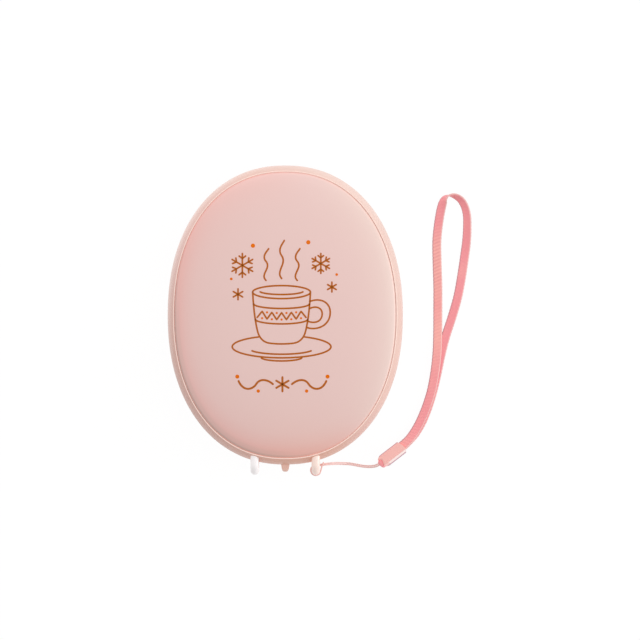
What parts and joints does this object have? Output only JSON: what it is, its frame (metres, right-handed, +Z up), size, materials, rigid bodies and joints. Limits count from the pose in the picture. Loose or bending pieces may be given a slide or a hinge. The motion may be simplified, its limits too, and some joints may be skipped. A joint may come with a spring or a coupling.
{
  "type": "rechargeable hand warmer",
  "caption": "Oval pillow-shaped rechargeable hand warmer with a push button, lanyard feet and a woven wrist strap.",
  "frame": {"origin": "middle of the flat resting face on the rear cover, on the floor that the warmer lies on", "axes": "+Z up through the front cover, -Y towards the end with the power button, the feet and the charging port, +X towards the side that the lanyard lies on"},
  "size_m": [0.1268, 0.1294, 0.036],
  "materials": {
    "rim": "satin pink ABS",
    "cover": "soft-touch pink ABS",
    "foot": "milk-white ABS",
    "button": "satin pink ABS",
    "lens": "frosted clear plastic",
    "light": "light-emitting diode",
    "steel": "plated steel",
    "black_plastic": "moulded black plastic",
    "board": "green solder mask on glass epoxy",
    "ferrite": "dull ferrite",
    "can": "bare aluminium can",
    "cell": "cell can in a blue shrink sleeve",
    "nickel": "nickel strip",
    "cradle": "natural ABS",
    "heat_plate": "mill-finish sheet",
    "heater_film": "polyimide film",
    "insulation": "fibre felt",
    "red_lead": "silicone-covered wire",
    "black_lead": "silicone-covered wire",
    "white_lead": "silicone-covered wire",
    "lanyard_cord": "braided nylon cord",
    "lanyard_sleeve": "glossy pink plastic",
    "lanyard_plug": "coral plastic",
    "lanyard_strap": "coral woven nylon webbing"
  },
  "bodies": {
    "case": {"rim_frame": "rim", "front_cover": "cover", "rear_cover": "cover", "foot_left": "foot", "foot_right": "foot", "switch_body": "steel", "indicator_lens_left": "lens", "indicator_lens_right": "lens", "indicator_light_1": "light", "indicator_light_2": "light", "indicator_light_3": "light", "indicator_light_4": "light", "charge_port_shell": "steel", "charge_port_tongue": "black_plastic", "main_board": "board", "control_chip": "black_plastic", "power_chip": "black_plastic", "inductor": "ferrite", "capacitor": "can", "cell_left": "cell", "cell_right": "cell", "nickel_strip_positive": "nickel", "nickel_strip_negative": "nickel", "cell_cradle": "cradle", "heat_plate_rear": "heat_plate", "heater_film_rear": "heater_film", "insulation_pad_rear": "insulation", "heat_plate_front": "heat_plate", "heater_film_front": "heater_film", "insulation_pad_front": "insulation", "thermistor": "black_plastic", "lead_positive": "red_lead", "lead_negative": "black_lead", "lead_heater_front": "white_lead", "lead_heater_rear": "white_lead", "lead_thermistor": "white_lead", "cradle_screw_1": "steel", "cradle_screw_2": "steel", "cradle_screw_3": "steel", "cradle_screw_4": "steel", "board_screw_1": "steel", "board_screw_2": "steel", "lanyard_cord": "lanyard_cord", "lanyard_sleeve": "lanyard_sleeve", "lanyard_plug": "lanyard_plug", "lanyard_strap": "lanyard_strap"},
    "button": {"power_button": "button", "switch_plunger": "black_plastic"}
  },
  "joints": [
    {"name": "button_press", "type": "slide", "parent": "case", "child": "button", "axis": [0, 1, 0], "range_m": [0, 0.0005], "stiffness_N_per_m": 600}
  ]
}
